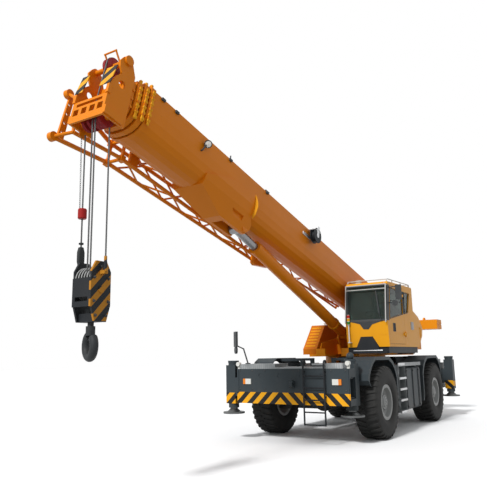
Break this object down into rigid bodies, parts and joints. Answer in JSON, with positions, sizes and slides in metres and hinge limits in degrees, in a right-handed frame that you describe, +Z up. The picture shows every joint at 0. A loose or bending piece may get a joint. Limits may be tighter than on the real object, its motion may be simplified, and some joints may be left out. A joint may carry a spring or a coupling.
{
  "type": "mobile crane",
  "caption": "Rough-terrain mobile crane with a telescopic boom, stowed lattice jib, operator's cab, steered wheels, outriggers and a hook block on hoist falls.",
  "frame": {"origin": "on the ground, at the middle of the overall length and width", "axes": "+X forward along the stowed boom, +Y to the crane's left, +Z up"},
  "size_m": [12.8899, 3.4, 6.0793],
  "materials": {
    "carrier_paint": "dark slate grey paint, satin, dusty along the lower edges",
    "deck_metal": "chequer plate, worn bright on its ribs",
    "black_plastic": "moulded black plastic and rubber",
    "black_paint": "black paint, semi-gloss",
    "cast_metal": "dark cast steel",
    "lamp_lens": "clear lens over a bright reflector",
    "jack_steel": "ground steel rod and painted float",
    "tyre_rubber": "black tyre rubber",
    "rim_paint": "silver-grey wheel paint",
    "crane_paint": "orange-yellow crane enamel",
    "winch_steel": "rope drum",
    "cab_glazing": "tinted safety glass",
    "cab_trim": "seat cloth and console plastic",
    "rail_paint": "white guard rails",
    "sheave_red": "dark red cast nylon",
    "rod_chrome": "hard chrome, polished",
    "wire_rope": "greased wire rope"
  },
  "bodies": {
    "carrier": {"chassis_frame": "carrier_paint", "outrigger_boxes": "carrier_paint", "deck_plates": "deck_metal", "mudguards": "black_plastic", "side_tanks": "carrier_paint", "front_ladder": "black_paint", "engine_block": "cast_metal", "engine_hood": "black_paint", "axles": "cast_metal", "headlamps": "lamp_lens", "carrier_mirror": "black_plastic"},
    "knuckle_fl": {"knuckle_fl": "cast_metal"},
    "wheel_fl": {"tyre_fl": "tyre_rubber", "rim_fl": "rim_paint"},
    "knuckle_fr": {"knuckle_fr": "cast_metal"},
    "wheel_fr": {"tyre_fr": "tyre_rubber", "rim_fr": "rim_paint"},
    "knuckle_rl": {"knuckle_rl": "cast_metal"},
    "wheel_rl": {"tyre_rl": "tyre_rubber", "rim_rl": "rim_paint"},
    "knuckle_rr": {"knuckle_rr": "cast_metal"},
    "wheel_rr": {"tyre_rr": "tyre_rubber", "rim_rr": "rim_paint"},
    "beam_fl": {"beam_fl": "carrier_paint"},
    "jack_fl": {"jack_fl": "jack_steel"},
    "beam_fr": {"beam_fr": "carrier_paint"},
    "jack_fr": {"jack_fr": "jack_steel"},
    "beam_rl": {"beam_rl": "carrier_paint"},
    "jack_rl": {"jack_rl": "jack_steel"},
    "beam_rr": {"beam_rr": "carrier_paint"},
    "jack_rr": {"jack_rr": "jack_steel"},
    "turntable": {"turntable_frame": "crane_paint", "counterweight": "crane_paint", "main_winch": "winch_steel", "right_hood": "crane_paint", "cab_base": "black_paint", "cab_shell": "crane_paint", "cab_glass": "cab_glazing", "cab_interior": "cab_trim", "cab_rails": "rail_paint"},
    "cab_door": {"cab_door": "crane_paint", "door_glass": "cab_glazing", "cab_mirrors": "black_plastic"},
    "boom": {"boom_base": "crane_paint", "fly_jib": "crane_paint", "cable_reel": "black_paint"},
    "section_2": {"boom_section_2": "crane_paint"},
    "section_3": {"boom_section_3": "crane_paint"},
    "section_4": {"boom_section_4": "crane_paint", "boom_head": "crane_paint", "head_sheaves": "sheave_red"},
    "lift_rod": {"lift_rod": "rod_chrome"},
    "lift_barrel": {"lift_barrel": "crane_paint"},
    "falls": {"hoist_falls": "wire_rope"},
    "hook_block": {"block_frame": "black_paint", "block_sheaves": "cast_metal"},
    "hook": {"hook": "cast_metal"}
  },
  "joints": [
    {"name": "steer_fl", "type": "hinge", "parent": "carrier", "child": "knuckle_fl", "pos_m": [-0.65502, 1.05, 0.745], "axis": [0, 0, 1], "range_deg": [-28, 28]},
    {"name": "roll_fl", "type": "hinge", "parent": "knuckle_fl", "child": "wheel_fl", "pos_m": [-0.65502, 1.22, 0.745], "axis": [0, 1, 0], "continuous": true},
    {"name": "steer_fr", "type": "hinge", "parent": "carrier", "child": "knuckle_fr", "pos_m": [-0.65502, -1.05, 0.745], "axis": [0, 0, 1], "range_deg": [-28, 28]},
    {"name": "roll_fr", "type": "hinge", "parent": "knuckle_fr", "child": "wheel_fr", "pos_m": [-0.65502, -1.22, 0.745], "axis": [0, 1, 0], "continuous": true},
    {"name": "steer_rl", "type": "hinge", "parent": "carrier", "child": "knuckle_rl", "pos_m": [-4.42502, 1.05, 0.745], "axis": [0, 0, 1], "range_deg": [-28, 28]},
    {"name": "roll_rl", "type": "hinge", "parent": "knuckle_rl", "child": "wheel_rl", "pos_m": [-4.42502, 1.22, 0.745], "axis": [0, 1, 0], "continuous": true},
    {"name": "steer_rr", "type": "hinge", "parent": "carrier", "child": "knuckle_rr", "pos_m": [-4.42502, -1.05, 0.745], "axis": [0, 0, 1], "range_deg": [-28, 28]},
    {"name": "roll_rr", "type": "hinge", "parent": "knuckle_rr", "child": "wheel_rr", "pos_m": [-4.42502, -1.22, 0.745], "axis": [0, 1, 0], "continuous": true},
    {"name": "extend_fl", "type": "slide", "parent": "carrier", "child": "beam_fl", "axis": [0, 1, 0], "range_m": [0, 1.85]},
    {"name": "lower_fl", "type": "slide", "parent": "beam_fl", "child": "jack_fl", "axis": [0, 0, -1], "range_m": [0, 0.64]},
    {"name": "extend_fr", "type": "slide", "parent": "carrier", "child": "beam_fr", "axis": [0, -1, 0], "range_m": [0, 1.51]},
    {"name": "lower_fr", "type": "slide", "parent": "beam_fr", "child": "jack_fr", "axis": [0, 0, -1], "range_m": [0, 0.64]},
    {"name": "extend_rl", "type": "slide", "parent": "carrier", "child": "beam_rl", "axis": [0, 1, 0], "range_m": [0, 1.51]},
    {"name": "lower_rl", "type": "slide", "parent": "beam_rl", "child": "jack_rl", "axis": [0, 0, -1], "range_m": [0, 0.64]},
    {"name": "extend_rr", "type": "slide", "parent": "carrier", "child": "beam_rr", "axis": [0, -1, 0], "range_m": [0, 1.85]},
    {"name": "lower_rr", "type": "slide", "parent": "beam_rr", "child": "jack_rr", "axis": [0, 0, -1], "range_m": [0, 0.64]},
    {"name": "slew", "type": "hinge", "parent": "carrier", "child": "turntable", "pos_m": [-2.59502, 0, 1.54], "axis": [0, 0, 1], "continuous": true},
    {"name": "cab_door", "type": "hinge", "parent": "turntable", "child": "cab_door", "pos_m": [-2.24302, 1.448, 2.18], "axis": [0, 0, 1], "range_deg": [0, 170]},
    {"name": "luff", "type": "hinge", "parent": "turntable", "child": "boom", "pos_m": [-4.06502, 0, 2.77], "axis": [0, -1, 0], "range_deg": [-15.8, 66.2]},
    {"name": "extend_boom", "type": "slide", "parent": "boom", "child": "section_2", "axis": [0.9711, 0, 0.2385], "range_m": [0, 7]},
    {"name": "extend_3", "type": "slide", "parent": "section_2", "child": "section_3", "axis": [0.9711, 0, 0.2385], "range_m": [0, 7]},
    {"name": "extend_4", "type": "slide", "parent": "section_3", "child": "section_4", "axis": [0.9711, 0, 0.2385], "range_m": [0, 7]},
    {"name": "lift_pin", "type": "hinge", "parent": "boom", "child": "lift_rod", "pos_m": [2.81368, 0, 4.02709], "axis": [0, -1, 0], "range_deg": [-2.1, 8.7]},
    {"name": "lift_stroke", "type": "slide", "parent": "lift_rod", "child": "lift_barrel", "axis": [-0.9362, 0, -0.3514], "range_m": [-0.46, 1.91]},
    {"name": "hang", "type": "hinge", "parent": "section_4", "child": "falls", "pos_m": [6.21061, 0, 4.95413], "axis": [0, -1, 0], "range_deg": [-66.5, 16]},
    {"name": "hoist", "type": "slide", "parent": "falls", "child": "hook_block", "axis": [0, 0, -1], "range_m": [-1.45, 1.6], "deforming": ["hoist_falls"]},
    {"name": "hook_turn", "type": "hinge", "parent": "hook_block", "child": "hook", "pos_m": [6.21061, 0, 2.2], "axis": [0, 0, 1], "continuous": true}
  ],
  "couplings": [
    {"joint": "steer_fr", "follows": "steer_fl", "ratio": 1},
    {"joint": "steer_rr", "follows": "steer_rl", "ratio": 1},
    {"joint": "extend_3", "follows": "extend_boom", "ratio": 1},
    {"joint": "extend_4", "follows": "extend_boom", "ratio": 1},
    {"joint": "lift_pin", "follows": "luff", "ratio": 0.13},
    {"joint": "lift_stroke", "follows": "luff", "m_per_rad": 1.65},
    {"joint": "hang", "follows": "luff", "ratio": -1}
  ]
}
